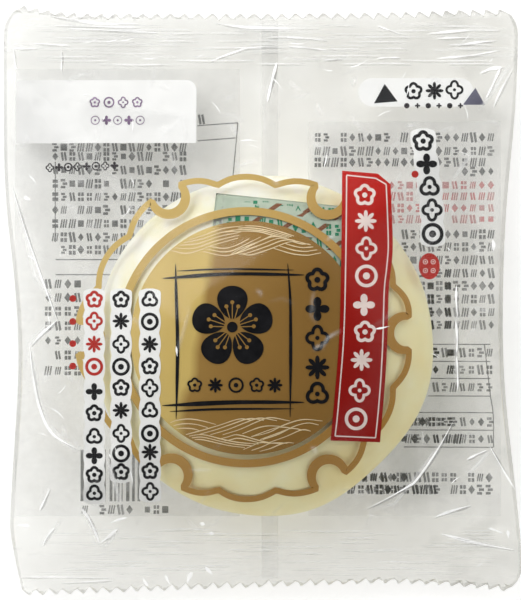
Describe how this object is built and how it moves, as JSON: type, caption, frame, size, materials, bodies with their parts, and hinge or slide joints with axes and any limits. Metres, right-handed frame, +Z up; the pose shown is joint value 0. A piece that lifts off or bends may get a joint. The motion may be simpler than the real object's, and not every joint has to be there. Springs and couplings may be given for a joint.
{
  "type": "steamed bun in a sealed film pack",
  "caption": "Round steamed bun in a clear flow-wrap film pack with ribbed, saw-toothed end seals, lying on its back.",
  "frame": {"origin": "on the surface the pack lies on, under the middle of its bounding box", "axes": "+X across the pack to the right of its front print, +Y along it to the upper end seal, +Z up out of the front"},
  "size_m": [0.1064, 0.1214, 0.0246],
  "materials": {
    "clear_film": "clear glossy film, slightly grey where it doubles",
    "bun_skin": "smooth pale steamed dough",
    "sachet_paper": "printed laminated paper, satin",
    "gold_print": "gold ink under film, shaded to brown",
    "red_print": "opaque red ink under film",
    "black_print": "opaque black ink under film",
    "white_print": "opaque white ink under film",
    "grey_print": "grey ink on the back film"
  },
  "bodies": {
    "root": {"sealed_bun_pack": "clear_film"}
  },
  "joints": []
}
